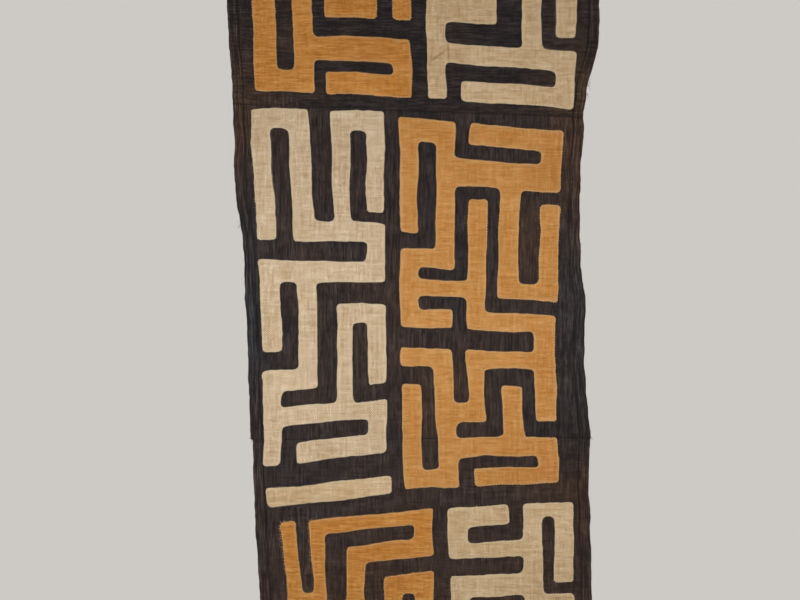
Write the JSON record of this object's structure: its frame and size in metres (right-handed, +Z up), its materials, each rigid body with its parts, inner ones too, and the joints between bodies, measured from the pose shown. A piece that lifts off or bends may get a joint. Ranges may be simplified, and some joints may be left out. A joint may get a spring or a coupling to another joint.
{
  "type": "kuba raffia cloth",
  "caption": "Long hanging raffia cloth: dark panels joined end to end, with cream and ochre meander figures sewn on the front.",
  "frame": {"origin": "middle of the top edge, at the front of the ground cloth", "axes": "X to the right across the cloth, +Z up, front faces -Y"},
  "size_m": [0.658, 0.0149, 1.7146],
  "materials": {
    "ground_raffia": "dull plain weave, dyed blue-black to dark brown",
    "cream_raffia": "dull plain weave, undyed",
    "ochre_raffia": "dull plain weave, dyed ochre"
  },
  "bodies": {
    "root": {"panel_top": "ground_raffia", "panel_middle": "ground_raffia", "panel_bottom": "ground_raffia", "figure_top_left": "ochre_raffia", "figure_top_left_inner": "ochre_raffia", "figure_top_right": "cream_raffia", "figure_middle_left": "cream_raffia", "figure_middle_bar": "cream_raffia", "figure_middle_right": "ochre_raffia", "figure_bottom_left": "ochre_raffia", "figure_bottom_right": "cream_raffia"}
  },
  "joints": []
}
